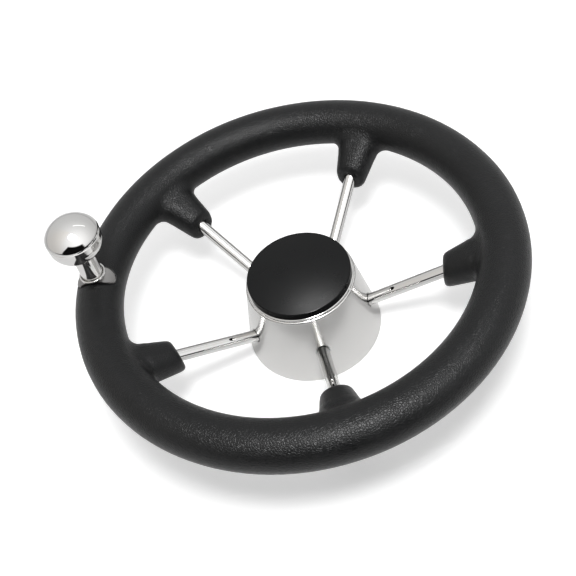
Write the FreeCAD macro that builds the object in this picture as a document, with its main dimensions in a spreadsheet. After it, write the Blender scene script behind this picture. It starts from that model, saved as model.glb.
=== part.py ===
import FreeCAD, Part
import math
import os
import re
import Sketcher

# Boat steering wheel with a foam grip and a spinner knob, in mm and degrees.
# Z runs up the wheel's axis towards the driver. Z = 0 is the mouth of the shaft's taper,
# and the front spoke lies on -Y.

# Driving sizes
SIZES = {
    # rim
    "rim_radius": 153.4,          # wheel axis to the middle of the rim
    "rim_height": 80.3,           # hub's foot to the rim's middle plane
    "ring_radius": 5.0,           # steel rod bent into the rim ring
    "grip_radius": 18.3,          # foam grip's round section
    "foam_gap": 0.2,              # foam to the steel inside it
    # foam stubs round the spokes
    "stub_reach": 44.4,           # middle of the rim to the stub's upright end face
    "stub_end_width": 22.8,
    "stub_end_height": 25.0,
    "stub_end_round": 10.6,
    "stub_lift": 0.4,             # stub's middle above the spoke's axis
    "stub_root_inset": 3.4,       # middle of the rim to the section hidden in the grip
    "stub_root_width": 38.0,
    "stub_root_height": 28.0,
    "stub_root_round": 12.0,
    "stub_blend": 8.0,            # fillet between stub and grip
    "stub_edge": 2.0,             # fillet round the end face
    # spokes
    "spoke_radius": 4.76,         # 3/8 in rod
    "dish_angle": 26.0,           # spoke's rise towards the rim
    "weld_gap": 0.1,              # steel to steel at a welded seat
    # hub core
    "core_radius": 22.0,
    "core_height": 36.0,
    "core_edge": 1.5,
    "socket_depth": 6.5,          # spoke's end below the core's wall
    "shaft_radius": 9.525,        # large end of the 3/4 in taper
    "taper_length": 26.0,
    "taper_run": 24.0,            # length that takes 1 mm off the radius
    "key_width": 4.76,
    "key_depth": 2.4,
    "nut_recess_radius": 14.5,
    # hub cone
    "foot_drop": 6.0,             # cone's foot below the taper's mouth
    "foot_radius": 54.4,
    "cone_top_radius": 42.7,
    "cone_height": 61.3,
    "cone_wall": 1.5,
    "cone_shoulder": 1.6,
    "hem_height": 3.0,
    "mouth_radius": 35.0,         # hole in the cone's top
    "spoke_hole_gap": 0.8,
    # trim ring
    "trim_radius": 41.9,
    "trim_bead": 1.8,
    "trim_step": 0.5,             # shadow gap under the bead
    "trim_step_radius": 40.8,
    "trim_sleeve_wall": 0.9,
    "trim_sleeve_depth": 6.0,
    "trim_gap": 0.1,
    # hub cap
    "cap_radius": 40.4,
    "cap_band": 4.7,
    "cap_rise": 3.0,
    "cap_wall": 2.5,
    "cap_edge": 0.8,
    "spigot_wall": 3.2,
    "spigot_depth": 5.5,
    "spigot_gap": 0.4,
    "seal_radius": 1.2,
    "seal_drop": 2.8,             # cap's seat to the middle of the seal
    "seal_gap": 0.03,
    # knob saddle
    "knob_azimuth": 167.3,
    "knob_tilt": 2.2,             # lean of the knob's axis towards the hub
    "saddle_half_length": 15.0,
    "saddle_half_width": 7.3,
    "saddle_wall": 2.0,
    "saddle_proud": 0.9,
    "saddle_gap": 0.35,           # foam cut-out round the saddle
    "saddle_pad_rise": 1.1,       # flat seat above the grip's top
    "saddle_post_radius": 6.8,
    "thread_radius": 4.0,
    "thread_gap": 0.05,
    "thread_depth": 11.5,
    "thread_tip_room": 0.8,
    # knob collar
    "collar_radius": 10.1,
    "collar_foot_radius": 7.9,
    "collar_height": 2.5,
    "collar_floor": 1.1,
    "collar_cup_radius": 9.2,
    "collar_rim": 1.2,
    # knob spindle and bushes
    "spindle_radius": 5.0,
    "spindle_fit": 0.05,
    "spindle_proud": 1.9,         # spindle's end above the nut
    "spindle_hex": 4.0,
    "spindle_hex_depth": 4.0,
    "knob_play": 0.1,
    "bush_radius": 6.5,
    "bush_fit": 0.02,
    "bush_flange_radius": 7.8,
    "bush_flange": 1.0,
    "bush_length": 10.0,
    "washer_radius": 9.0,
    "washer_thickness": 1.5,
    "nut_flats": 13.0,
    "nut_height": 8.0,
    # knob head, heights from the saddle's flat seat
    "seam_height": 44.8,
    "head_radius": 20.5,
    "dome_rise": 14.3,
    "dome_side_round": 7.0,
    "dome_wall": 2.0,
    "neck_radius": 8.35,
    "neck_flare": 4.0,
    "bowl_radius": 20.3,
    "bowl_round": 14.2,
    "bowl_wall": 2.6,
    "bowl_lip": 4.9,
    "bowl_floor_wall": 4.6,       # the bowl's lowest point to its flat floor inside
    "spigot_lip_height": 2.0,
    "spigot_lip_wall": 1.4,
    "spigot_lip_gap": 0.1,
    "seam_edge": 0.5,
}

SPOKES = ["spoke_1", "spoke_2", "spoke_3", "spoke_4", "spoke_5"]
SPOKE_STEP = 360.0 / len(SPOKES)

# Places that follow from the driving sizes
FOOT = "(-foot_drop)"
RIM_Z = "(rim_height - foot_drop)"
SPOKE_LOW = f"({RIM_Z} - rim_radius * tan(dish_angle))"
STUB_START = "(rim_radius - stub_reach)"
CONE_TOP = "(cone_height - foot_drop)"
CONE_SLOPE = "((foot_radius - cone_top_radius) / cone_height)"
TRIM_TOP = f"({CONE_TOP} + trim_step + trim_bead)"
SLEEVE_RADIUS = "(mouth_radius - trim_gap - trim_sleeve_wall)"
CAP_TOP = f"({TRIM_TOP} + cap_band + cap_rise)"
SADDLE_TOP = f"({RIM_Z} + grip_radius + saddle_pad_rise)"
NECK_FOOT = "(collar_floor + knob_play + bush_flange)"
BOWL_FLOOR = "(seam_height - bowl_lip - bowl_round + bowl_floor_wall)"
WASHER_SEAT = f"({BOWL_FLOOR} + bush_flange + knob_play)"
SPINDLE_TOP = f"({WASHER_SEAT} + washer_thickness + nut_height + spindle_proud)"

doc = FreeCAD.newDocument("wheel")
sheet = doc.addObject("Spreadsheet::Sheet", "Sizes")
for row, (alias, size) in enumerate(SIZES.items(), start=1):
    sheet.set(f"A{row}", alias)
    sheet.set(f"B{row}", str(size))
    sheet.setAlias(f"B{row}", alias)
doc.recompute()


# Expressions on the sheet

def bound(text):
    """The same expression with every size read from the sheet."""
    return re.sub(r"[a-z][a-z_0-9]*", lambda m: "Sizes." + m.group() if m.group() in SIZES else m.group(), text)


def value(text):
    return float(sheet.evalExpression(text))


# Bodies, planes and sketches

def new_body(label):
    return doc.addObject("PartDesign::Body", label)


def origin_part(body, role):
    return next(item for item in body.Origin.OriginFeatures if item.Role == role)


def new_sketch(body, name, role="XZ_Plane", offset=("0", "0", "0"), tilt=None):
    """A sketch on one of the body's planes, moved and then tilted about its own X axis."""
    sketch = body.newObject("Sketcher::SketchObject", name)
    sketch.AttachmentSupport = [(origin_part(body, role), "")]
    sketch.MapMode = "FlatFace"
    turn = FreeCAD.Rotation(FreeCAD.Vector(1, 0, 0), value(tilt) if tilt else 0)
    sketch.AttachmentOffset = FreeCAD.Placement(FreeCAD.Vector(*[value(part) for part in offset]), turn)
    for axis, part in zip("xyz", offset):
        sketch.setExpression("AttachmentOffset.Base." + axis, bound(part))
    if tilt:
        sketch.setExpression("AttachmentOffset.Rotation.Angle", bound(tilt))
    return sketch


def at_spoke(body, name, radius, tilt=None):
    """An upright sketch across the front spoke, where the spoke's axis is that far from the wheel's."""
    height = f"{SPOKE_LOW} + ({radius}) * tan(dish_angle)"
    return new_sketch(body, name, offset=("0", height, radius), tilt=tilt)


def across_spoke(body, name, radius):
    """The same, tilted square to the spoke."""
    return at_spoke(body, name, radius, "-dish_angle")


def bind(sketch, kind, where, text):
    index = sketch.addConstraint(Sketcher.Constraint(kind, *where, value(text)))
    sketch.setExpression(f"Constraints[{index}]", bound(text))


def arc_between(start, end, radius, turn):
    """The short arc from start to end; turn is 1 to the left and -1 to the right."""
    chord = end - start
    half = chord.Length / 2
    side = FreeCAD.Vector(-chord.y, chord.x, 0).normalize() * turn
    centre = (start + end) / 2 + side * math.sqrt(max(radius ** 2 - half ** 2, 0))
    middle = (start + end) / 2 - centre
    crown = centre + middle.normalize() * radius if middle.Length > 1e-9 else centre - side * radius
    return Part.Arc(start, crown, end)


def outline(sketch, corners, bends=None):
    """A closed outline through corners given as pairs of expressions. bends gives the radius and
    the turn of each side that is an arc, by the number of the corner that it starts from."""
    bends = bends or {}
    points = [FreeCAD.Vector(value(x), value(y), 0) for x, y in corners]
    sides = []
    for number, point in enumerate(points):
        after = points[(number + 1) % len(points)]
        if number in bends:
            radius, turn = bends[number]
            side = sketch.addGeometry(arc_between(point, after, value(radius), turn))
            first, last = (1, 2) if turn > 0 else (2, 1)
            bind(sketch, "Radius", (side,), radius)
        else:
            side = sketch.addGeometry(Part.LineSegment(point, after))
            first, last = 1, 2
        sides.append((side, first, last))
    for number, (x, y) in enumerate(corners):
        side, first, last = sides[number]
        before = sides[number - 1]
        sketch.addConstraint(Sketcher.Constraint("Coincident", before[0], before[2], side, first))
        bind(sketch, "DistanceX", (-1, 1, side, first), x)
        bind(sketch, "DistanceY", (-1, 1, side, first), y)
    return sketch


def circle(sketch, radius, x="0", y="0"):
    centre = FreeCAD.Vector(value(x), value(y), 0)
    edge = sketch.addGeometry(Part.Circle(centre, FreeCAD.Vector(0, 0, 1), value(radius)))
    bind(sketch, "DistanceX", (-1, 1, edge, 3), x)
    bind(sketch, "DistanceY", (-1, 1, edge, 3), y)
    bind(sketch, "Radius", (edge,), radius)
    return sketch


def rounded_box(sketch, width, height, corner, y="0"):
    """A rectangle with round corners about the sketch's Y axis, its middle at y."""
    right = f"({width}) / 2"
    top = f"({y} + ({height}) / 2)"
    low = f"({y} - ({height}) / 2)"
    corners = [
        (right, f"{low} + {corner}"), (right, f"{top} - {corner}"),
        (f"{right} - {corner}", top), (f"-{right} + {corner}", top),
        (f"-{right}", f"{top} - {corner}"), (f"-{right}", f"{low} + {corner}"),
        (f"-{right} + {corner}", low), (f"{right} - {corner}", low),
    ]
    return outline(sketch, corners, {number: (corner, 1) for number in (1, 3, 5, 7)})


# Features

def add(body, kind, name, sketch):
    feature = body.newObject("PartDesign::" + kind, name)
    feature.Profile = sketch
    return feature


def turned(body, name, sketch, cut=False):
    feature = add(body, "Groove" if cut else "Revolution", name, sketch)
    feature.ReferenceAxis = (sketch, ["V_Axis"])
    feature.Angle = 360
    return checked(body, feature, cut)


def raised(body, name, sketch, length, cut=False):
    """A pad along the sketch's normal, or a pocket the same way."""
    feature = add(body, "Pocket" if cut else "Pad", name, sketch)
    feature.Length = value(length)
    feature.setExpression("Length", bound(length))
    feature.Reversed = cut
    return checked(body, feature, cut)


def checked(body, feature, cut):
    """Recomputes, and makes sure that a cut really took something away."""
    doc.recompute()
    base = feature.BaseFeature
    if cut and base and feature.Shape.Volume > base.Shape.Volume - 0.01:
        raise RuntimeError(f"{feature.Name} of {body.Label} cuts nothing")
    return feature


def round_pattern(body, name, feature, count=len(SPOKES)):
    pattern = body.newObject("PartDesign::PolarPattern", name)
    pattern.Originals = [feature]
    pattern.Axis = (origin_part(body, "Z_Axis"), [""])
    pattern.Angle = 360
    pattern.Occurrences = count
    body.Tip = pattern
    doc.recompute()
    return pattern


def soften(body, kind, name, size, wanted):
    """A fillet or chamfer on the edges of the body's tip that wanted() picks."""
    base = body.Tip
    edges = [f"Edge{number}" for number, edge in enumerate(base.Shape.Edges, start=1)
             if not edge.Degenerated and wanted(edge)]
    if not edges:
        raise RuntimeError(f"{name} of {body.Label} finds no edge")
    feature = body.newObject("PartDesign::" + kind, name)
    feature.Base = (base, edges)
    part = "Radius" if kind == "Fillet" else "Size"
    setattr(feature, part, value(size))
    feature.setExpression(part, bound(size))
    doc.recompute()
    return feature


def circle_at(radius, height):
    """Picks the round edge of that radius about the body's Z axis, at that height."""
    radius, height = value(radius), value(height)

    def wanted(edge):
        curve = edge.Curve
        return (isinstance(curve, Part.Circle) and abs(curve.Radius - radius) < 0.01
                and abs(curve.Center.z - height) < 0.01 and math.hypot(curve.Center.x, curve.Center.y) < 0.01)
    return wanted


def turn_about_wheel(body, angle):
    body.Placement = FreeCAD.Placement(FreeCAD.Vector(), FreeCAD.Rotation(FreeCAD.Vector(0, 0, 1), angle))
    doc.recompute()
    return body


def lean_on_rim(body, across, up):
    """Sets the body's origin that far across the rim and up from the rim's middle at the knob,
    measured on the knob's axis, which leans towards the hub."""
    reach = f"(rim_radius + ({across}) * cos(knob_tilt) - ({up}) * sin(knob_tilt))"
    height = f"({RIM_Z} + ({across}) * sin(knob_tilt) + ({up}) * cos(knob_tilt))"
    base = f"vector({reach} * cos(knob_azimuth); {reach} * sin(knob_azimuth); {height})"
    turn = "rotation(vector(0; 0; 1); knob_azimuth) * rotation(vector(0; 1; 0); -knob_tilt)"
    body.setExpression("Placement", bound(f"placement({base}; {turn})"))
    doc.recompute()
    return body


def on_knob_axis(body):
    """Stands a body that was made round its own Z axis on the saddle's flat seat."""
    return lean_on_rim(body, "0", "grip_radius + saddle_pad_rise")


# Rim

def make_rim_ring():
    body = new_body("rim_ring")
    turned(body, "ring", circle(new_sketch(body, "ring_section"), "ring_radius", "rim_radius", RIM_Z))
    return body


def make_foam():
    """The moulded grip with its five stubs, before the saddle's cut-out."""
    body = new_body("foam_blank")
    turned(body, "grip", circle(new_sketch(body, "grip_section"), "grip_radius", "rim_radius", RIM_Z))

    end = rounded_box(at_spoke(body, "stub_end_section", STUB_START),
                      "stub_end_width", "stub_end_height", "stub_end_round", "stub_lift")
    root = rounded_box(at_spoke(body, "stub_root_section", "rim_radius - stub_root_inset"),
                       "stub_root_width", "stub_root_height", "stub_root_round", "stub_lift")
    stub = add(body, "AdditiveLoft", "stub", end)
    stub.Sections = [root]
    stub.Ruled = True
    doc.recompute()
    round_pattern(body, "stubs", stub)

    inner_side = value("rim_radius - grip_radius / 3")
    stub_corner = math.hypot(value(STUB_START), value("stub_end_width / 2"))
    rim_z = value(RIM_Z)

    def meets_grip(edge):
        """Every point of the edge lies on the grip's round section."""
        steps = 5
        first, last = edge.ParameterRange
        spots = [edge.valueAt(first + (last - first) * step / steps) for step in range(steps + 1)]
        off = [math.hypot(math.hypot(spot.x, spot.y) - value("rim_radius"), spot.z - rim_z) for spot in spots]
        near = all(abs(distance - value("grip_radius")) < 0.02 for distance in off)
        return near and edge.Length > 1 and min(math.hypot(spot.x, spot.y) for spot in spots) < inner_side

    def round_end(edge):
        """The edge belongs to a stub's end face."""
        reach = [math.hypot(vertex.X, vertex.Y) for vertex in edge.Vertexes]
        return max(reach) < stub_corner + 0.01

    soften(body, "Fillet", "blend", "stub_blend", meets_grip)
    soften(body, "Fillet", "stub_edges", "stub_edge", round_end)

    turned(body, "ring_channel",
           circle(new_sketch(body, "ring_channel_section"), "ring_radius + foam_gap", "rim_radius", RIM_Z), True)
    channel_start = f"({STUB_START} - stub_end_height)"
    channel = circle(across_spoke(body, "spoke_channel_section", channel_start), "spoke_radius + foam_gap")
    cut = raised(body, "spoke_channel", channel, f"(rim_radius - {channel_start}) / cos(dish_angle)", True)
    round_pattern(body, "spoke_channels", cut)
    return body


# Spokes

def make_spoke(label, number):
    """A straight rod from its socket in the hub core to the rim ring, its end shaped to the ring."""
    body = new_body(label)
    start = "(core_radius - socket_depth)"
    section = circle(across_spoke(body, "rod_section", start), "spoke_radius")
    raised(body, "rod", section, f"(rim_radius - {start}) / cos(dish_angle)")
    turned(body, "ring_seat",
           circle(new_sketch(body, "ring_seat_section"), "ring_radius + weld_gap", "rim_radius", RIM_Z), True)
    return turn_about_wheel(body, SPOKE_STEP * number)


# Hub

def make_hub_core():
    """Turned centre: tapered bore with a keyway, a recess for the shaft's nut, a socket for each spoke."""
    body = new_body("hub_core")
    small_end = "(shaft_radius - taper_length / taper_run)"
    profile = [
        ("shaft_radius", "0"), ("core_radius", "0"), ("core_radius", "core_height"),
        ("nut_recess_radius", "core_height"), ("nut_recess_radius", "taper_length"),
        (small_end, "taper_length"),
    ]
    turned(body, "turning", outline(new_sketch(body, "core_profile"), profile))
    soften(body, "Chamfer", "foot_edge", "core_edge", circle_at("core_radius", "0"))
    soften(body, "Chamfer", "top_edge", "core_edge", circle_at("core_radius", "core_height"))

    key = [("0", "-key_width / 2"), ("shaft_radius + key_depth", "-key_width / 2"),
           ("shaft_radius + key_depth", "key_width / 2"), ("0", "key_width / 2")]
    keyway = outline(new_sketch(body, "keyway_section", "XY_Plane"), key)
    raised(body, "keyway", keyway, "taper_length", True)

    start = "(core_radius - socket_depth)"
    socket = circle(across_spoke(body, "socket_section", start), "spoke_radius + weld_gap")
    cut = raised(body, "socket", socket, "2 * socket_depth + 2 * spoke_radius", True)
    round_pattern(body, "sockets", cut)
    return body


def make_hub_cone():
    """Spun shroud: straight side, rolled shoulder, a hem at the foot and a hole for each spoke."""
    body = new_body("hub_cone")
    inner_top = f"(cone_top_radius + {CONE_SLOPE} * cone_wall - cone_wall)"
    hem_side = f"(foot_radius - {CONE_SLOPE} * hem_height)"
    profile = [
        ("foot_radius", FOOT), ("cone_top_radius", CONE_TOP), ("mouth_radius", CONE_TOP),
        ("mouth_radius", f"{CONE_TOP} - cone_wall"), (inner_top, f"{CONE_TOP} - cone_wall"),
        (f"{hem_side} - cone_wall", f"{FOOT} + hem_height"),
        (f"{hem_side} - 2 * cone_wall", f"{FOOT} + hem_height"), ("foot_radius - 2 * cone_wall", FOOT),
    ]
    turned(body, "spinning", outline(new_sketch(body, "cone_profile"), profile))
    soften(body, "Fillet", "shoulder", "cone_shoulder", circle_at("cone_top_radius", CONE_TOP))
    soften(body, "Fillet", "shoulder_inside", "cone_shoulder / 4",
           circle_at(inner_top, f"{CONE_TOP} - cone_wall"))
    soften(body, "Fillet", "foot_edge", "cone_wall / 3", circle_at("foot_radius", FOOT))

    start = "(core_radius + cone_wall)"
    hole = circle(across_spoke(body, "spoke_hole_section", start), "spoke_radius + spoke_hole_gap")
    cut = raised(body, "spoke_hole", hole, f"(foot_radius + spoke_radius - {start}) / cos(dish_angle)", True)
    round_pattern(body, "spoke_holes", cut)
    return body


def make_trim_ring():
    """Polished ring between cone and cap, with a sleeve through the cone's mouth."""
    body = new_body("trim_ring")
    bead = "(trim_bead / 2)"
    bead_low = f"({CONE_TOP} + trim_step)"
    sleeve_foot = f"({CONE_TOP} - trim_sleeve_depth)"
    profile = [
        (SLEEVE_RADIUS, sleeve_foot), ("mouth_radius - trim_gap", sleeve_foot),
        ("mouth_radius - trim_gap", CONE_TOP), ("trim_step_radius", CONE_TOP),
        ("trim_step_radius", bead_low), (f"trim_radius - {bead}", bead_low),
        ("trim_radius", f"{bead_low} + {bead}"), (f"trim_radius - {bead}", TRIM_TOP),
        (SLEEVE_RADIUS, TRIM_TOP),
    ]
    turned(body, "turning", outline(new_sketch(body, "trim_profile"), profile, {5: (bead, 1), 6: (bead, 1)}))
    return body


def make_hub_cap():
    """Moulded cap: domed top, straight band and a spigot with the seal's groove."""
    body = new_body("hub_cap")
    band_top = f"({TRIM_TOP} + cap_band)"
    under = f"({CAP_TOP} - cap_wall)"
    dome = "((cap_radius ^ 2 + cap_rise ^ 2) / (2 * cap_rise))"
    spigot = f"({SLEEVE_RADIUS} - spigot_gap)"
    spigot_foot = f"({TRIM_TOP} - spigot_depth)"
    groove = f"({SLEEVE_RADIUS} - 2 * seal_radius - 2 * seal_gap)"
    groove_top = f"({TRIM_TOP} - seal_drop + seal_radius + seal_gap)"
    groove_low = f"({TRIM_TOP} - seal_drop - seal_radius - seal_gap)"
    inner = f"({spigot} - spigot_wall)"
    profile = [
        ("cap_radius", TRIM_TOP), ("cap_radius", band_top), ("0", CAP_TOP), ("0", under),
        (inner, f"{under} - cap_rise / 2"), (inner, spigot_foot), (spigot, spigot_foot), (spigot, groove_low),
        (groove, groove_low), (groove, groove_top), (spigot, groove_top), (spigot, TRIM_TOP),
    ]
    turned(body, "moulding", outline(new_sketch(body, "cap_profile"), profile, {1: (dome, 1)}))
    soften(body, "Fillet", "edge", "cap_edge", circle_at("cap_radius", band_top))
    return body


def make_cap_seal():
    body = new_body("cap_seal")
    middle = f"({SLEEVE_RADIUS} - seal_radius - seal_gap)"
    turned(body, "seal", circle(new_sketch(body, "seal_section"), "seal_radius", middle,
                                f"{TRIM_TOP} - seal_drop"))
    return body


# Knob saddle

def make_saddle(label, gap, room=False):
    """A curved strap over the rim's top, in one piece with the post that stands on the rim ring.
    With room it is the space that the foam leaves for it."""
    body = new_body(label)
    skin = "grip_radius + saddle_pad_rise + saddle_wall" if room else "grip_radius + saddle_proud"
    turned(body, "skin", circle(new_sketch(body, "skin_section"), skin, "rim_radius", RIM_Z))
    turned(body, "under_side", circle(new_sketch(body, "under_section"), f"grip_radius - saddle_wall - ({gap})",
                                      "rim_radius", RIM_Z), True)

    half_width = f"(saddle_half_width + {gap})"
    half_length = f"(saddle_half_length + {gap})"
    straight = f"({half_length} - {half_width})"
    strap = new_sketch(body, "strap_outline", "XY_Plane", ("0", "0", RIM_Z))
    circle(strap, "rim_radius + 2 * grip_radius")
    corners = [
        (f"rim_radius - {straight}", f"-{half_width}"), (f"rim_radius + {straight}", f"-{half_width}"),
        (f"rim_radius + {half_length}", "0"), (f"rim_radius + {straight}", half_width),
        (f"rim_radius - {straight}", half_width), (f"rim_radius - {half_length}", "0"),
    ]
    outline(strap, corners, {number: (half_width, 1) for number in (1, 2, 4, 5)})
    raised(body, "strap_trim", strap, "2 * grip_radius", True)
    below = circle(new_sketch(body, "below_outline", "XY_Plane", ("0", "0", f"{RIM_Z} - 2 * grip_radius")),
                   "rim_radius + 2 * grip_radius")
    raised(body, "below_trim", below, "2 * grip_radius", True)

    post = new_sketch(body, "post_section", "XY_Plane", ("0", "0", RIM_Z))
    circle(post, f"saddle_post_radius + {gap}", "rim_radius")
    raised(body, "post", post, "grip_radius + saddle_pad_rise")
    if not room:
        turned(body, "ring_seat",
               circle(new_sketch(body, "ring_seat_section"), "ring_radius + weld_gap", "rim_radius", RIM_Z), True)
        hole_foot = f"({SADDLE_TOP} - thread_depth - thread_tip_room)"
        hole = circle(new_sketch(body, "thread_section", "XY_Plane", ("0", "0", hole_foot)),
                      "thread_radius + thread_gap", "rim_radius")
        raised(body, "thread_hole", hole, f"{SADDLE_TOP} - {hole_foot} + saddle_wall", True)
    return lean_on_rim(body, "-rim_radius", f"-{RIM_Z}")


# Knob, made round its own axis from the saddle's flat seat upwards

def make_collar():
    body = new_body("knob_collar")
    bore = "(spindle_radius + spindle_fit)"
    profile = [
        (bore, "0"), ("collar_foot_radius", "0"), ("collar_radius", "collar_height - collar_rim"),
        ("collar_radius", "collar_height"), ("collar_cup_radius", "collar_height"),
        ("bush_flange_radius + 3 * knob_play", "collar_floor"), (bore, "collar_floor"),
    ]
    turned(body, "turning", outline(new_sketch(body, "collar_profile"), profile))
    soften(body, "Fillet", "rim", "collar_rim / 3", circle_at("collar_radius", "collar_height"))
    return on_knob_axis(body)


def hexagon(sketch, flats):
    """A hexagon by its width across flats, two corners on the X axis."""
    reach = f"(({flats}) / sqrt(3))"
    corners = [(f"{reach} * cos({60 * turn})", f"{reach} * sin({60 * turn})") for turn in range(6)]
    return outline(sketch, corners)


def make_spindle():
    """Shoulder stud: threaded into the saddle, plain for the bushes, threaded again for the nut."""
    body = new_body("knob_spindle")
    profile = [
        ("0", "-thread_depth"), ("thread_radius", "-thread_depth"), ("thread_radius", "0"),
        ("spindle_radius", "0"), ("spindle_radius", WASHER_SEAT), ("thread_radius", WASHER_SEAT),
        ("thread_radius", SPINDLE_TOP), ("0", SPINDLE_TOP),
    ]
    turned(body, "turning", outline(new_sketch(body, "spindle_profile"), profile))
    soften(body, "Chamfer", "top_edge", "thread_radius / 5", circle_at("thread_radius", SPINDLE_TOP))
    socket = new_sketch(body, "driver_section", "XY_Plane", ("0", "0", f"{SPINDLE_TOP} - spindle_hex_depth"))
    raised(body, "driver_socket", hexagon(socket, "spindle_hex"), "2 * spindle_hex_depth", True)
    return on_knob_axis(body)


def make_bush(label, flange_foot, sleeve):
    """A flanged bush; sleeve is 1 where it points up from the flange and -1 where it points down."""
    body = new_body(label)
    bore = "(spindle_radius + spindle_fit)"
    wall = "(bush_radius - bush_fit)"
    flange_top = f"({flange_foot} + bush_flange)"
    sleeve_end = f"({flange_top} + bush_length)" if sleeve > 0 else f"({flange_foot} - bush_length)"
    seat, far = (flange_top, flange_foot) if sleeve > 0 else (flange_foot, flange_top)
    profile = [
        (bore, far), ("bush_flange_radius", far), ("bush_flange_radius", seat),
        (wall, seat), (wall, sleeve_end), (bore, sleeve_end),
    ]
    turned(body, "moulding", outline(new_sketch(body, "bush_profile"), profile))
    return on_knob_axis(body)


def make_washer():
    body = new_body("knob_washer")
    disc = new_sketch(body, "washer_section", "XY_Plane", ("0", "0", WASHER_SEAT))
    circle(disc, "washer_radius")
    circle(disc, "thread_radius + knob_play")
    raised(body, "disc", disc, "washer_thickness")
    return on_knob_axis(body)


def make_nut():
    body = new_body("knob_nut")
    block = new_sketch(body, "nut_section", "XY_Plane", ("0", "0", f"{WASHER_SEAT} + washer_thickness"))
    hexagon(block, "nut_flats")
    circle(block, "thread_radius + thread_gap")
    raised(body, "block", block, "nut_height")
    return on_knob_axis(body)


def make_stem():
    """Neck and lower bowl of the knob, with a lip that the dome is pressed over."""
    body = new_body("knob_stem")
    rim = "(seam_height - bowl_lip)"
    middle = "(bowl_radius - bowl_round)"
    neck_top = f"({rim} - sqrt(bowl_round ^ 2 - (neck_radius - {middle}) ^ 2))"
    inside = "(bowl_round - bowl_wall)"
    floor_radius = f"({middle} + sqrt({inside} ^ 2 - ({rim} - {BOWL_FLOOR}) ^ 2))"
    dome_inside = "(dome_side_round - dome_wall)"
    lip = f"(head_radius - dome_side_round + sqrt({dome_inside} ^ 2 - spigot_lip_height ^ 2) - spigot_lip_gap)"
    lip_top = "(seam_height + spigot_lip_height)"
    wall_in = f"({middle} + {inside})"
    profile = [
        ("bush_radius", NECK_FOOT), ("neck_radius", NECK_FOOT), ("neck_radius", neck_top),
        ("bowl_radius", rim), ("bowl_radius", "seam_height"), (lip, "seam_height"), (lip, lip_top),
        (f"{lip} - spigot_lip_wall", lip_top), (f"{lip} - spigot_lip_wall", "seam_height"),
        (wall_in, rim), (floor_radius, BOWL_FLOOR), ("bush_radius", BOWL_FLOOR),
    ]
    bends = {2: ("bowl_round", 1), 9: (inside, -1)}
    turned(body, "spinning", outline(new_sketch(body, "stem_profile"), profile, bends))
    soften(body, "Fillet", "neck_flare", "neck_flare", circle_at("neck_radius", neck_top))
    soften(body, "Chamfer", "seam_edge", "seam_edge", circle_at("bowl_radius", "seam_height"))
    return on_knob_axis(body)


def make_dome():
    """Upper shell of the knob's head: a flattened ball, small arc at the side and large arc on top."""
    body = new_body("knob_dome")
    crown = "(((head_radius - dome_side_round) ^ 2 + dome_rise ^ 2 - dome_side_round ^ 2)" \
            " / (2 * (dome_rise - dome_side_round)))"
    lean = f"((head_radius - dome_side_round) / ({crown} - dome_side_round))"
    crown_middle = f"(seam_height + dome_rise - {crown})"
    corners = [
        ("head_radius", "seam_height"),
        (f"{crown} * {lean}", f"{crown_middle} + {crown} * sqrt(1 - {lean} ^ 2)"),
        ("0", "seam_height + dome_rise"), ("0", "seam_height + dome_rise - dome_wall"),
        (f"({crown} - dome_wall) * {lean}", f"{crown_middle} + ({crown} - dome_wall) * sqrt(1 - {lean} ^ 2)"),
        ("head_radius - dome_wall", "seam_height"),
    ]
    bends = {0: ("dome_side_round", 1), 1: (crown, 1),
             3: (f"{crown} - dome_wall", -1), 4: ("dome_side_round - dome_wall", -1)}
    turned(body, "spinning", outline(new_sketch(body, "dome_profile"), corners, bends))
    soften(body, "Chamfer", "seam_edge", "seam_edge", circle_at("head_radius", "seam_height"))
    return on_knob_axis(body)


# The whole wheel

foam_grip = doc.addObject("Part::Cut", "foam_grip")
foam_grip.Base = make_foam()
foam_grip.Tool = make_saddle("saddle_room", "saddle_gap", room=True)

nodes = [
    make_rim_ring(),
    foam_grip,
    make_hub_core(),
    make_hub_cone(),
    make_trim_ring(),
    make_hub_cap(),
    make_cap_seal(),
    make_saddle("knob_saddle", "0"),
    make_collar(),
    make_spindle(),
    make_bush("knob_bush_lower", "(collar_floor + knob_play)", 1),
    make_bush("knob_bush_upper", BOWL_FLOOR, -1),
    make_washer(),
    make_nut(),
    make_stem(),
    make_dome(),
]
nodes += [make_spoke(label, number) for number, label in enumerate(SPOKES)]
doc.recompute()

for item in doc.Objects:
    if {"Invalid", "Error"} & set(item.State):
        raise RuntimeError(f"{item.Label} failed: {item.State}")
os.makedirs("parts", exist_ok=True)
for node in nodes:
    shape = node.Shape
    if shape.isNull() or not shape.isValid() or len(shape.Solids) != 1:
        raise RuntimeError(f"{node.Label} is not one valid solid")
    shape.exportStep(f"parts/{node.Label}.step")
    print(f"{node.Label:16} {shape.Volume / 1000:9.2f} cm3  {len(shape.Faces):3} faces")
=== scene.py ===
import math

import bmesh
import bpy
from mathutils import Matrix, Vector, noise
from mathutils.bvhtree import BVHTree


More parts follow.
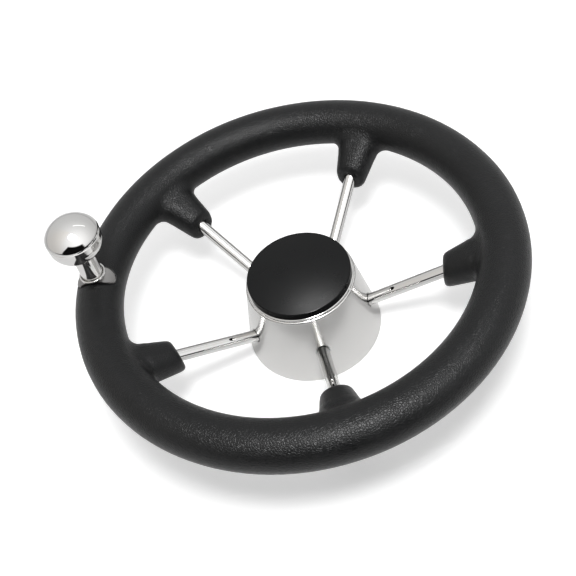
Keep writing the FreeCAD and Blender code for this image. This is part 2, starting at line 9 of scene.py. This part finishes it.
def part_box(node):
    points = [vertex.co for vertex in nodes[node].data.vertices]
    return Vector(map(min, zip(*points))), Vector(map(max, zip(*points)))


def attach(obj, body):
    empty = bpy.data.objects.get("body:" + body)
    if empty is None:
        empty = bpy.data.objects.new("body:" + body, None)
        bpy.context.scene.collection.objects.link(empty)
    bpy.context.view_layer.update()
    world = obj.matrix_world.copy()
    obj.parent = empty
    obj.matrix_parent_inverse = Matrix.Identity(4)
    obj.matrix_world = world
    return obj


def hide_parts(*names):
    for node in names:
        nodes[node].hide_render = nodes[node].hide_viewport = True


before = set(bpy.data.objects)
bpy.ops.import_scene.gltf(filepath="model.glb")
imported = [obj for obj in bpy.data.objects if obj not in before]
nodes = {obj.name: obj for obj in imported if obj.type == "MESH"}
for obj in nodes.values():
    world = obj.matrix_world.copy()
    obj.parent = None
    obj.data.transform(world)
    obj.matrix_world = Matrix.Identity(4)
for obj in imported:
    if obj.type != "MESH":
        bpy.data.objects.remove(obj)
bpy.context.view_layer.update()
mm = 0.001


# small helpers for materials

def newMaterial(name):
    material = bpy.data.materials.new(name)
    material.use_nodes = True
    material.node_tree.nodes.clear()
    return material, material.node_tree


def addNode(tree, kind, inputs=None, **settings):
    node = tree.nodes.new(kind)
    for key, setting in settings.items():
        setattr(node, key, setting)
    for key, socketValue in (inputs or {}).items():
        if isinstance(socketValue, bpy.types.NodeSocket):
            tree.links.new(socketValue, node.inputs[key])
        else:
            node.inputs[key].default_value = socketValue
    return node


def addRamp(tree, fac, stops):
    ramp = addNode(tree, "ShaderNodeValToRGB", {"Fac": fac})
    band = ramp.color_ramp
    for number, (place, level) in enumerate(stops):
        stop = band.elements[number] if number < 2 else band.elements.new(place)
        stop.position = place
        stop.color = (level, level, level, 1) if isinstance(level, (int, float)) else (*level, 1)
    return ramp.outputs["Color"]


def softStep(tree, level, start, end):
    # 0 up to start and 1 from end on, also where end is the lower of the two
    return addNode(tree, "ShaderNodeMapRange", {"Value": level, "From Min": start, "From Max": end},
                   interpolation_type="SMOOTHSTEP").outputs["Result"]


def product(tree, *factors):
    result = factors[0]
    for factor in factors[1:]:
        result = addNode(tree, "ShaderNodeMath", {0: result, 1: factor}, operation="MULTIPLY").outputs[0]
    return result


def finish(tree, shader):
    addNode(tree, "ShaderNodeOutputMaterial", {"Surface": shader.outputs[0]})


def objectPlace(tree, scale=(1, 1, 1), move=(0, 0, 0)):
    coordinates = addNode(tree, "ShaderNodeTexCoord")
    return addNode(tree, "ShaderNodeMapping", {
        "Vector": coordinates.outputs["Object"], "Scale": scale, "Location": move,
    }).outputs["Vector"]


def setMaterial(piece, material):
    piece.data.materials.clear()
    piece.data.materials.append(material)


# materials

foamLook = {
    "dark": (0.0040, 0.0043, 0.0046),
    "light": (0.0070, 0.0073, 0.0077),
    "pebbleScale": 600,        # pebbles per metre
    "warpScale": 300,          # the pebbles are bent out of their regular cells
    "warp": 1.1 * mm,
    "creases": [(0.0, 0.0), (0.45, 1.0), (0.15, 0.6)],
    "pebbleBump": 0.16 * mm,
    "poreScale": 2600,
    "poreBump": 0.02 * mm,
    "blotchScale": 38,         # slow change of colour and gloss
    "roughness": (0.31, 0.38),
    "index": 1.34,
}


def makeFoamMaterial():
    material, tree = newMaterial("foamSkin")
    place = objectPlace(tree)
    warp = addNode(tree, "ShaderNodeTexNoise", {"Vector": place, "Scale": foamLook["warpScale"], "Detail": 2})
    bent = addNode(tree, "ShaderNodeVectorMath", {0: warp.outputs["Color"], 1: (foamLook["warp"],) * 3},
                   operation="MULTIPLY")
    place = addNode(tree, "ShaderNodeVectorMath", {0: place, 1: bent.outputs[0]}, operation="ADD").outputs[0]
    pebbles = addNode(tree, "ShaderNodeTexVoronoi",
                      {"Vector": place, "Scale": foamLook["pebbleScale"], "Randomness": 1.0},
                      feature="DISTANCE_TO_EDGE")
    creases = addRamp(tree, pebbles.outputs["Distance"], foamLook["creases"])
    pores = addNode(tree, "ShaderNodeTexNoise", {"Vector": place, "Scale": foamLook["poreScale"], "Detail": 3})
    blotches = addNode(tree, "ShaderNodeTexNoise", {"Vector": place, "Scale": foamLook["blotchScale"], "Detail": 4})
    color = addNode(tree, "ShaderNodeMix", {
        "Factor": blotches.outputs["Fac"], "A": (*foamLook["dark"], 1), "B": (*foamLook["light"], 1),
    }, data_type="RGBA")
    smooth, rough = foamLook["roughness"]
    roughness = addNode(tree, "ShaderNodeMapRange", {
        "Value": blotches.outputs["Fac"], "From Min": 0.3, "From Max": 0.7, "To Min": smooth, "To Max": rough})
    grain = addNode(tree, "ShaderNodeBump", {
        "Height": creases, "Distance": foamLook["pebbleBump"], "Strength": 1.0})
    grain = addNode(tree, "ShaderNodeBump", {
        "Height": pores.outputs["Fac"], "Distance": foamLook["poreBump"], "Normal": grain.outputs[0]})
    shader = addNode(tree, "ShaderNodeBsdfPrincipled", {
        "Base Color": color.outputs["Result"], "Roughness": roughness.outputs["Result"],
        "IOR": foamLook["index"], "Normal": grain.outputs[0]})
    finish(tree, shader)
    return material


def makeSteelMaterial(name, color, smooth, rough, lines=None, lineBump=0.0):
    # polished steel: faint smears in the gloss, and turning lines where it was spun
    material, tree = newMaterial(name)
    smears = addNode(tree, "ShaderNodeTexNoise", {"Vector": objectPlace(tree), "Scale": 45, "Detail": 5})
    roughness = addNode(tree, "ShaderNodeMapRange", {
        "Value": smears.outputs["Fac"], "From Min": 0.35, "From Max": 0.65, "To Min": smooth, "To Max": rough})
    inputs = {"Base Color": (*color, 1), "Metallic": 1.0, "Roughness": roughness.outputs["Result"]}
    if lines:
        marks = addNode(tree, "ShaderNodeTexNoise", {"Vector": objectPlace(tree, lines), "Scale": 1.0, "Detail": 2})
        bump = addNode(tree, "ShaderNodeBump", {"Height": marks.outputs["Fac"], "Distance": lineBump})
        inputs["Normal"] = bump.outputs[0]
    finish(tree, addNode(tree, "ShaderNodeBsdfPrincipled", inputs))
    return material


def makePlasticMaterial(name, color, smooth, rough, index, side=None):
    material, tree = newMaterial(name)
    place = objectPlace(tree)
    haze = addNode(tree, "ShaderNodeTexNoise", {"Vector": place, "Scale": 60, "Detail": 4})
    fine = addNode(tree, "ShaderNodeTexNoise", {"Vector": place, "Scale": 2500, "Detail": 2})
    roughness = addNode(tree, "ShaderNodeMapRange", {
        "Value": haze.outputs["Fac"], "From Min": 0.3, "From Max": 0.7, "To Min": smooth, "To Max": rough})
    bump = addNode(tree, "ShaderNodeBump", {"Height": fine.outputs["Fac"], "Distance": 0.000002})
    gloss = roughness.outputs["Result"]
    if side:
        # the edge is buffed, and the side under it gets a low reflection index so that it renders deep black: painted
        # shade
        parts = addNode(tree, "ShaderNodeSeparateXYZ", {"Vector": place})
        flat = addNode(tree, "ShaderNodeVectorMath", {0: place, 1: (1, 1, 0)}, operation="MULTIPLY")
        across = addNode(tree, "ShaderNodeVectorMath", {0: flat.outputs[0]}, operation="LENGTH").outputs["Value"]
        gloss = addNode(tree, "ShaderNodeMapRange", {
            "Value": softStep(tree, across, *side["edge"]),
            "To Min": gloss, "To Max": side["gloss"]}).outputs["Result"]
        index = addNode(tree, "ShaderNodeMapRange", {
            "Value": softStep(tree, parts.outputs["Z"], *side["height"]),
            "To Min": index, "To Max": side["index"]}).outputs["Result"]
    shader = addNode(tree, "ShaderNodeBsdfPrincipled", {
        "Base Color": (*color, 1), "Roughness": gloss, "IOR": index, "Normal": bump.outputs[0]})
    finish(tree, shader)
    return material


foamSkin = makeFoamMaterial()
mirrorSteel = makeSteelMaterial("mirrorSteel", (0.66, 0.655, 0.645), 0.03, 0.06)
coneSteel = makeSteelMaterial("coneSteel", (0.62, 0.615, 0.605), 0.20, 0.26, (40, 40, 5000), 0.0000004)
turnedSteel = makeSteelMaterial("turnedSteel", (0.55, 0.55, 0.55), 0.22, 0.34, (40, 40, 3000), 0.000003)
# the saddle's steel colour is darkened: painted shade for the dark foam and room that it mirrors
castSteelPaintedShade = makeSteelMaterial("castSteelPaintedShade", (0.28, 0.275, 0.27), 0.28, 0.42, (900, 900, 900), 0.00004)
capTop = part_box("hub_cap")[1]
# the cap's buffed edge, and painted shade on the side band under it
capBuffAndPaintedShade = {
    "edge": (capTop.x - 1.0 * mm, capTop.x - 0.6 * mm),        # from the axis outwards
    "height": (capTop.z - 3.4 * mm, capTop.z - 3.7 * mm),      # from the top down
    "gloss": 0.07, "index": 1.09,
}
capPlastic = makePlasticMaterial("capPlastic", (0.0011, 0.0013, 0.0015), 0.26, 0.32, 1.285, side=capBuffAndPaintedShade)
bushPlastic = makePlasticMaterial("bushPlastic", (0.72, 0.70, 0.66), 0.35, 0.45, 1.48)
sealRubber = makePlasticMaterial("sealRubber", (0.012, 0.012, 0.012), 0.45, 0.6, 1.5)
print("materials made")


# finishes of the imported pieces

looks = {
    "foam_grip": foamSkin, "rim_ring": mirrorSteel, "hub_core": turnedSteel, "hub_cone": coneSteel,
    "trim_ring": mirrorSteel, "hub_cap": capPlastic, "cap_seal": sealRubber, "knob_saddle": castSteelPaintedShade,
    "knob_collar": mirrorSteel, "knob_spindle": turnedSteel, "knob_washer": turnedSteel,
    "knob_nut": turnedSteel, "knob_stem": mirrorSteel, "knob_dome": mirrorSteel,
    "knob_bush_lower": bushPlastic, "knob_bush_upper": bushPlastic,
}
for name, node in nodes.items():
    setMaterial(node, looks.get(name, mirrorSteel))
print("packed pieces finished")


# foam grip

foamGrip = {
    "voxel": 1.56 * mm,
    "smoothTurns": 4,
    "flowStart": 12 * mm,      # distances from here on are from the middle of the rim's section
    "flowReach": 38 * mm,      # how far round each stub the foam is filled in
    "flowTurns": 62,
    "endTurns": 10,            # rounding of the stubs' ends
    "stubStart": 27.5 * mm,
    "boreEdge": 2.0 * mm,      # foam this near to a spoke stays as it is
    "stubSwell": 0.65 * mm,    # the stubs' foam is a little fuller than the rim's
    "stubSwellFrom": 19 * mm,
    "stubSwellRun": 6 * mm,
    "channelReach": 8 * mm,    # the channel round the ring stays as it is
    "swell": 0.10 * mm,        # slow unevenness of the moulding
    "swellLength": 45 * mm,
    "partingWidth": 0.9 * mm,  # trimmed line where the mould's halves met
    "partingHeight": 0.05 * mm,
}


def pullToSurface(mesh, surface):
    for vert in mesh.verts:
        spot = surface.find_nearest(vert.co)[0]
        if spot:
            vert.co = spot


def smoothTurns(mesh, verts, turns):
    for turn in range(turns):
        bmesh.ops.smooth_vert(mesh, verts=verts, factor=0.5, use_axis_x=True, use_axis_y=True, use_axis_z=True)


def makeFoamGrip():
    source = bmesh.new()
    source.from_mesh(nodes["foam_grip"].data)
    bmesh.ops.remove_doubles(source, verts=source.verts, dist=0.001 * mm)
    surface = BVHTree.FromBMesh(source)
    data = bpy.data.meshes.new("foamGrip")
    source.to_mesh(data)
    source.free()
    piece = bpy.data.objects.new("foamGrip", data)
    bpy.context.scene.collection.objects.link(piece)
    remesh = piece.modifiers.new("remesh", "REMESH")
    remesh.mode = "VOXEL"
    remesh.voxel_size = foamGrip["voxel"]
    ready = piece.evaluated_get(bpy.context.evaluated_depsgraph_get())
    fine = bpy.data.meshes.new_from_object(ready)
    piece.modifiers.clear()
    piece.data = fine

    mesh = bmesh.new()
    mesh.from_mesh(fine)
    for turn in range(foamGrip["smoothTurns"]):
        smoothTurns(mesh, mesh.verts, 1)
        pullToSurface(mesh, surface)

    # the foam flows from the rim into the stubs without a crease
    low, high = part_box("rim_ring")
    rimHeight, rimRadius = (low.z + high.z) / 2, (high.x - low.x) / 2 - (high.z - low.z) / 2
    spokeWays, rods = [], bmesh.new()
    for name in nodes:
        if name.startswith("spoke_"):
            low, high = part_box(name)
            spokeWays.append(Vector((low.x + high.x, low.y + high.y, 0)).normalized())
            rods.from_mesh(nodes[name].data)
    rodSurface = BVHTree.FromBMesh(rods)
    rods.free()
    bmesh.ops.recalc_face_normals(mesh, faces=mesh.faces)
    mesh.normal_update()
    flow, ends = [], []
    for vert in mesh.verts:
        offRing = math.hypot(math.hypot(vert.co.x, vert.co.y) - rimRadius, vert.co.z - rimHeight)
        if offRing > foamGrip["stubStart"]:
            if rodSurface.find_nearest(vert.co)[3] > foamGrip["boreEdge"]:
                ends.append(vert)
        elif offRing > foamGrip["flowStart"]:
            spot = Vector((vert.co.x, vert.co.y, 0))
            if any((spot - way * rimRadius).length < foamGrip["flowReach"] for way in spokeWays):
                flow.append(vert)
    smoothTurns(mesh, ends, foamGrip["endTurns"])
    before = [(vert, vert.co.copy(), vert.normal.copy()) for vert in flow]
    smoothTurns(mesh, flow, foamGrip["flowTurns"])
    for vert, place, outward in before:
        vert.co = place + outward * max((vert.co - place).dot(outward), 0)   # hollows fill, nothing sinks
    mesh.normal_update()

    # slow unevenness, and the parting line on the rim's inner and outer side
    for vert in mesh.verts:
        across = math.hypot(vert.co.x, vert.co.y) - rimRadius
        off = vert.co.z - rimHeight
        offRing = math.hypot(across, off)
        if offRing < foamGrip["channelReach"]:
            continue
        line = math.exp(-(off / (foamGrip["partingWidth"] / 2)) ** 2) * foamGrip["partingHeight"]
        slow = noise.noise(vert.co / foamGrip["swellLength"]) * foamGrip["swell"]
        share = (offRing - foamGrip["stubSwellFrom"]) / foamGrip["stubSwellRun"]
        fuller = min(max(share, 0), 1) * foamGrip["stubSwell"]
        vert.co += vert.normal * (line + slow + fuller - foamGrip["partingHeight"] - foamGrip["swell"] / 2)
    for face in mesh.faces:
        face.smooth = True
    mesh.to_mesh(fine)
    mesh.free()
    setMaterial(piece, foamSkin)
    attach(piece, "wheel")
    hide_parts("foam_grip")
    print("foam grip made:", len(fine.polygons), "faces")


makeFoamGrip()


# studio

studio = {
    "floorSize": 8.0,
    "floorColor": 0.90,
    # painted light that the lens sees on the floor beyond its own colour: least at the front rim, where it leaves
    # painted shade, more round the wheel and most far off
    "floorPaintedLight": (0.27, 0.48, 0.72),
    "floorFade": (0.07, 0.30), # how far from the front rim the first becomes the second
    "floorFar": (0.45, 1.30),  # and the second the third
    "frontRim": 0.20,          # the front rim's distance from the axis
    "frontSqueeze": 0.6,       # the painted shade's low place is wider than it is deep
    "floorGlow": 0.10,         # the lift for what the steel mirrors
    # where the painted dark reflection of the floor begins in front
    "paintedDarkReflection": (-0.46, -0.40),
    "skyFill": 0.44,           # plain light from all round
    "topLamp": {"place": (0.0, 0.0, 1.15), "size": (0.55, 0.55), "power": 0.8},
    "mainLamp": {"place": (0.06, -0.42, 1.15), "size": (0.50, 0.40), "power": 28.5},
    # a card that only the cap mirrors
    "capLamp": {"place": (0.02, 0.13, 0.50), "size": (0.26, 0.20), "power": 2.2},
}
# the room that the steel mirrors, angles in degrees: azimuth 0 is +X and -90 the front
room = {
    "low": 0.71, "high": 0.88,                      # light at the horizon and overhead
    "glow": 0.74, "glowAzimuth": -65, "glowHeight": 45,
    "glowFall": [(0.0, 0.02), (1.0, 1.0), (0.25, 0.10), (0.5, 0.235), (0.7, 0.42), (0.9, 0.74)],
    "lampGlow": 11.0, "lampGlowWay": (-82, 70), "lampGlowReach": (13, 7),   # round the main lamp
    "warmth": (1.0, 0.972, 0.94), "warmFrom": (120, 165),                   # colour of the wall on the left
    "panelLeft": (-141, -136), "panelRight": (-48, -57), "panelTop": (38.5, 34.5), "panelFall": 0.17,
    "panelCorner": (-137, 17), "panelSlope": 0.90, "panelLevel": 0.006,
    "stripEnds": ((29, 36), (60, 64)), "stripWidth": 2.2, "stripLight": 1.0,
}


def makeFloor():
    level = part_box("hub_cone")[0].z
    mesh = bmesh.new()
    bmesh.ops.create_grid(mesh, x_segments=1, y_segments=1, size=studio["floorSize"] / 2,
                          matrix=Matrix.Translation((0, 0, level - 0.05 * mm)))
    data = bpy.data.meshes.new("floor")
    mesh.to_mesh(data)
    mesh.free()
    floor = bpy.data.objects.new("floor", data)
    bpy.context.scene.collection.objects.link(floor)

    material, tree = newMaterial("paper")
    rays = addNode(tree, "ShaderNodeLightPath")
    place = addNode(tree, "ShaderNodeSeparateXYZ", {"Vector": objectPlace(tree)})
    # in reflections the floor turns black a little in front of the wheel: a painted dark reflection
    endStart, endStop = studio["paintedDarkReflection"]
    paintedDarkReflection = addNode(tree, "ShaderNodeMapRange", {
        "Value": place.outputs["Y"], "From Min": endStart, "From Max": endStop})
    shade = addNode(tree, "ShaderNodeBsdfDiffuse", {"Color": (studio["floorColor"],) * 3 + (1,)})
    fromRim = objectPlace(tree, scale=(studio["frontSqueeze"], 1, 1), move=(0, studio["frontRim"], 0))
    reach = addNode(tree, "ShaderNodeVectorMath", {0: fromRim}, operation="LENGTH").outputs["Value"]
    # the floor's glow is painted light, lowest at the front rim where it paints the shadow darker
    paintedShadeNear, paintedLightWheel, paintedLightFar = studio["floorPaintedLight"]
    strength = addNode(tree, "ShaderNodeMapRange", {
        "Value": softStep(tree, reach, *studio["floorFade"]), "To Min": paintedShadeNear, "To Max": paintedLightWheel})
    strength = addNode(tree, "ShaderNodeMath", {
        0: softStep(tree, reach, *studio["floorFar"]), 1: paintedLightFar - paintedLightWheel, 2: strength.outputs["Result"],
    }, operation="MULTIPLY_ADD")
    paintedFloorLight = addNode(tree, "ShaderNodeEmission", {"Color": (1, 1, 1, 1), "Strength": strength.outputs[0]})
    seen = addNode(tree, "ShaderNodeAddShader", {0: shade.outputs[0], 1: paintedFloorLight.outputs[0]})
    paintedBlack = addNode(tree, "ShaderNodeBsdfDiffuse", {"Color": (0.01, 0.01, 0.01, 1)})
    glow = addNode(tree, "ShaderNodeEmission", {"Color": (1, 1, 1, 1), "Strength": studio["floorGlow"]})
    glossed = addNode(tree, "ShaderNodeAddShader", {0: shade.outputs[0], 1: glow.outputs[0]})
    mirrored = addNode(tree, "ShaderNodeMixShader", {
        0: paintedDarkReflection.outputs["Result"], 1: paintedBlack.outputs[0], 2: glossed.outputs[0]})
    camera = addNode(tree, "ShaderNodeMixShader", {
        0: rays.outputs["Is Camera Ray"], 1: shade.outputs[0], 2: seen.outputs[0]})
    surface = addNode(tree, "ShaderNodeMixShader", {
        0: rays.outputs["Is Glossy Ray"], 1: camera.outputs[0], 2: mirrored.outputs[0]})
    finish(tree, surface)
    setMaterial(floor, material)


def makeWorld():
    # seen straight it is white; in reflections the room is light above and dark low in front
    world = bpy.data.worlds.new("studio")
    bpy.context.scene.world = world
    world.use_nodes = True
    tree = world.node_tree
    tree.nodes.clear()

    def math2(operation, first, second=0.0, third=0.0):
        return addNode(tree, "ShaderNodeMath", {0: first, 1: second, 2: third}, operation=operation).outputs[0]

    def toward(azimuth, height):
        turn, rise = math.radians(azimuth), math.radians(height)
        return Vector((math.cos(turn) * math.cos(rise), math.sin(turn) * math.cos(rise), math.sin(rise)))

    def dot(way, fixed):
        return addNode(tree, "ShaderNodeVectorMath", {0: way, 1: fixed}, operation="DOT_PRODUCT").outputs["Value"]

    rays = addNode(tree, "ShaderNodeLightPath")
    way = addNode(tree, "ShaderNodeTexCoord").outputs["Generated"]
    parts = addNode(tree, "ShaderNodeSeparateXYZ", {"Vector": way})
    azimuth = math2("DEGREES", math2("ARCTAN2", parts.outputs["Y"], parts.outputs["X"]))
    height = math2("DEGREES", math2("ARCSINE", parts.outputs["Z"]))

    # light wall and ceiling, brightest over the front
    base = addNode(tree, "ShaderNodeMapRange", {
        "Value": parts.outputs["Z"], "From Min": 0.0, "From Max": 1.0, "To Min": room["low"], "To Max": room["high"]})
    near = dot(way, toward(room["glowAzimuth"], room["glowHeight"]))
    glow = addRamp(tree, near, room["glowFall"])
    light = math2("MULTIPLY_ADD", glow, room["glow"], base.outputs["Result"])

    off = math2("ARCCOSINE", math2("MINIMUM", dot(way, toward(*room["lampGlowWay"])), 1.0))
    outer, inner = (math.radians(angle) for angle in room["lampGlowReach"])
    light = math2("MULTIPLY_ADD", softStep(tree, off, outer, inner), room["lampGlow"], light)

    # a narrow strip light high on the right
    first, last = (toward(*end) for end in room["stripEnds"])
    off = math2("ABSOLUTE", dot(way, first.cross(last).normalized()))
    reach = math.cos(first.angle(last) / 2)
    halfWidth = math.sin(math.radians(room["stripWidth"]))
    strip = product(tree, softStep(tree, off, halfWidth, halfWidth * 0.4),
                    softStep(tree, dot(way, (first + last).normalized()), reach - 0.01, reach + 0.004))
    light = math2("MULTIPLY_ADD", strip, room["stripLight"], light)

    # a dark panel low in front
    fall = math2("MULTIPLY_ADD", math2("ADD", azimuth, 100.0), room["panelFall"], height)
    cornerAzimuth, cornerHeight = room["panelCorner"]
    corner = math2("MULTIPLY_ADD", math2("SUBTRACT", azimuth, cornerAzimuth), -room["panelSlope"], height)
    dark = product(tree, softStep(tree, azimuth, *room["panelLeft"]), softStep(tree, azimuth, *room["panelRight"]),
                   softStep(tree, fall, *room["panelTop"]), softStep(tree, corner, cornerHeight + 3, cornerHeight))
    level = math2("MULTIPLY_ADD", dark, math2("SUBTRACT", room["panelLevel"], light), light)
    tint = addNode(tree, "ShaderNodeMix", {
        "Factor": softStep(tree, math2("ABSOLUTE", azimuth), *room["warmFrom"]), "A": (1, 1, 1, 1),
        "B": (*room["warmth"], 1)}, data_type="RGBA").outputs["Result"]
    mirrored = addNode(tree, "ShaderNodeBackground", {"Color": tint, "Strength": level})
    straight = addNode(tree, "ShaderNodeBackground", {"Color": (1, 1, 1, 1), "Strength": 1.0})
    fill = addNode(tree, "ShaderNodeBackground", {"Color": (1, 1, 1, 1), "Strength": studio["skyFill"]})
    seen = addNode(tree, "ShaderNodeMixShader", {
        0: rays.outputs["Is Camera Ray"], 1: fill.outputs[0], 2: straight.outputs[0]})
    surface = addNode(tree, "ShaderNodeMixShader", {
        0: rays.outputs["Is Glossy Ray"], 1: seen.outputs[0], 2: mirrored.outputs[0]})
    addNode(tree, "ShaderNodeOutputWorld", {"Surface": surface.outputs[0]})


def makeLamp(name, mirrored=True, softEdge=False, only=None):
    facts = studio[name]
    lamp = bpy.data.lights.new(name, "AREA")
    lamp.shape = "RECTANGLE"
    lamp.size, lamp.size_y = facts["size"]
    lamp.energy = facts["power"]
    if softEdge:
        # bright in the middle and fading to its edges, so that the steel shows no hard rectangle
        lamp.use_nodes = True
        tree = lamp.node_tree
        tree.nodes.clear()
        across = addNode(tree, "ShaderNodeNewGeometry").outputs["Parametric"]
        middle = addNode(tree, "ShaderNodeVectorMath", {0: across, 1: (0.5, 0.5, 0)}, operation="SUBTRACT")
        middle = addNode(tree, "ShaderNodeVectorMath", {0: middle.outputs[0], 1: (1, 1, 0)}, operation="MULTIPLY")
        reach = addNode(tree, "ShaderNodeVectorMath", {0: middle.outputs[0]}, operation="LENGTH").outputs["Value"]
        glow = addNode(tree, "ShaderNodeEmission", {"Strength": softStep(tree, reach, 0.5, 0.08)})
        addNode(tree, "ShaderNodeOutputLight", {"Surface": glow.outputs[0]})
    holder = bpy.data.objects.new(name, lamp)
    bpy.context.scene.collection.objects.link(holder)
    holder.visible_glossy = mirrored
    if only:
        lit = bpy.data.collections.new(name + "Lights")
        lit.objects.link(nodes[only])
        holder.light_linking.receiver_collection = lit
    holder.location = facts["place"]
    holder.rotation_mode = "QUATERNION"
    holder.rotation_quaternion = (-holder.location).to_track_quat("-Z", "Y")   # towards the hub's foot


cameraSetup = {
    "place": (0.00366, -0.44912, 0.58140),
    "right": (0.952531, -0.219275, -0.211194),
    "up": (0.303703, 0.732669, 0.609065),
    "lens": 56.5,
}


def makeCamera():
    lens = bpy.data.cameras.new("camera")
    lens.sensor_width = 36
    lens.lens = cameraSetup["lens"]
    lens.clip_start = 0.01
    camera = bpy.data.objects.new("camera", lens)
    bpy.context.scene.collection.objects.link(camera)
    right, up = Vector(cameraSetup["right"]), Vector(cameraSetup["up"])
    turn = Matrix((right, up, right.cross(up))).transposed()
    camera.matrix_world = Matrix.Translation(cameraSetup["place"]) @ turn.to_4x4()
    bpy.context.scene.camera = camera


makeFloor()
makeWorld()
makeLamp("topLamp", mirrored=False)
makeLamp("mainLamp", softEdge=True)
makeLamp("capLamp", softEdge=True, only="hub_cap")
makeCamera()
bpy.context.scene.view_settings.view_transform = "Standard"
print("studio made")
